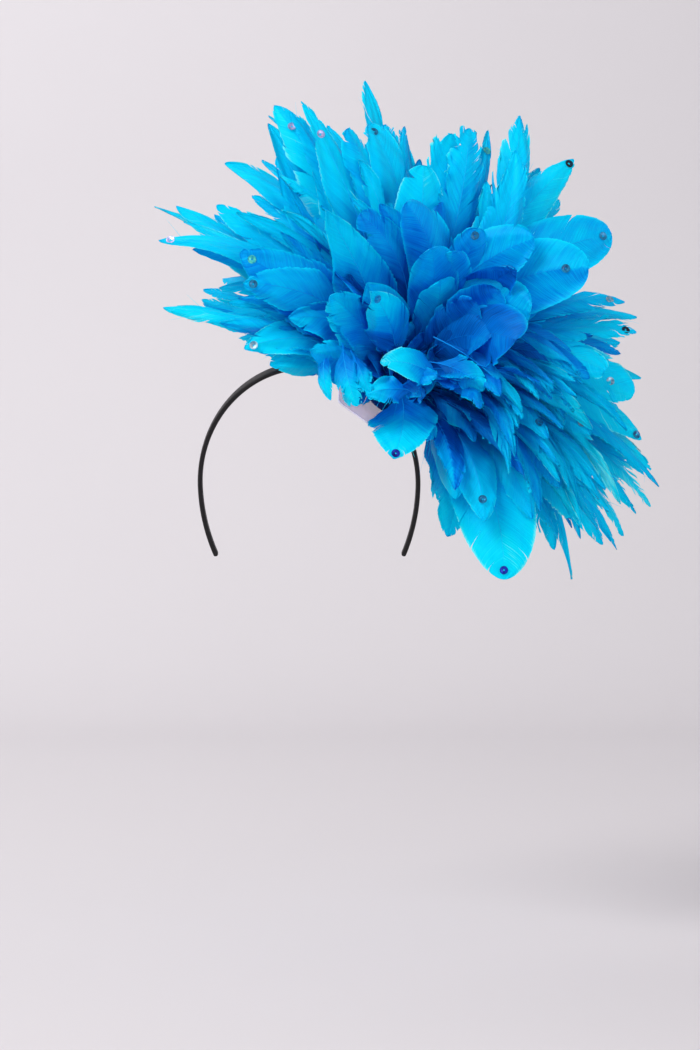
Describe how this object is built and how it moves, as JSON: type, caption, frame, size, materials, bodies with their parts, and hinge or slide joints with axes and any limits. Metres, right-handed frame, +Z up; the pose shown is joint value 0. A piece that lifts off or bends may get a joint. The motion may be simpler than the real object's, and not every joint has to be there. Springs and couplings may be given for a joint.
{
  "type": "feather fascinator",
  "caption": "Head band worn with a large side spray of dyed turquoise feathers, dotted with cup sequins, on a clear flat base plate.",
  "frame": {"origin": "middle of the band's inner face at the top of the arch, where it sits on the crown of the head", "axes": "+Z up, -Y the way the wearer faces, +X to the wearer's left, which is the side that the plume is on"},
  "size_m": [0.3223, 0.2638, 0.3312],
  "materials": {
    "satin": "black satin ribbon wound on a sprung core",
    "acetate": "clear acetate sheet with a faint lilac tint",
    "feather": "dyed turquoise feathers, deeper blue at their roots",
    "sequin": "iridescent metallised film"
  },
  "bodies": {
    "root": {"base_plate": "acetate", "feather_plume": "feather", "head_band": "satin", "sequin_01": "sequin", "sequin_02": "sequin", "sequin_03": "sequin", "sequin_04": "sequin", "sequin_05": "sequin", "sequin_06": "sequin", "sequin_07": "sequin", "sequin_08": "sequin", "sequin_09": "sequin", "sequin_10": "sequin", "sequin_11": "sequin", "sequin_12": "sequin", "sequin_13": "sequin", "sequin_14": "sequin", "sequin_15": "sequin", "sequin_16": "sequin", "sequin_17": "sequin", "sequin_18": "sequin", "sequin_19": "sequin", "sequin_20": "sequin", "sequin_21": "sequin", "sequin_22": "sequin", "sequin_23": "sequin", "sequin_24": "sequin", "sequin_25": "sequin", "sequin_26": "sequin"}
  },
  "joints": []
}
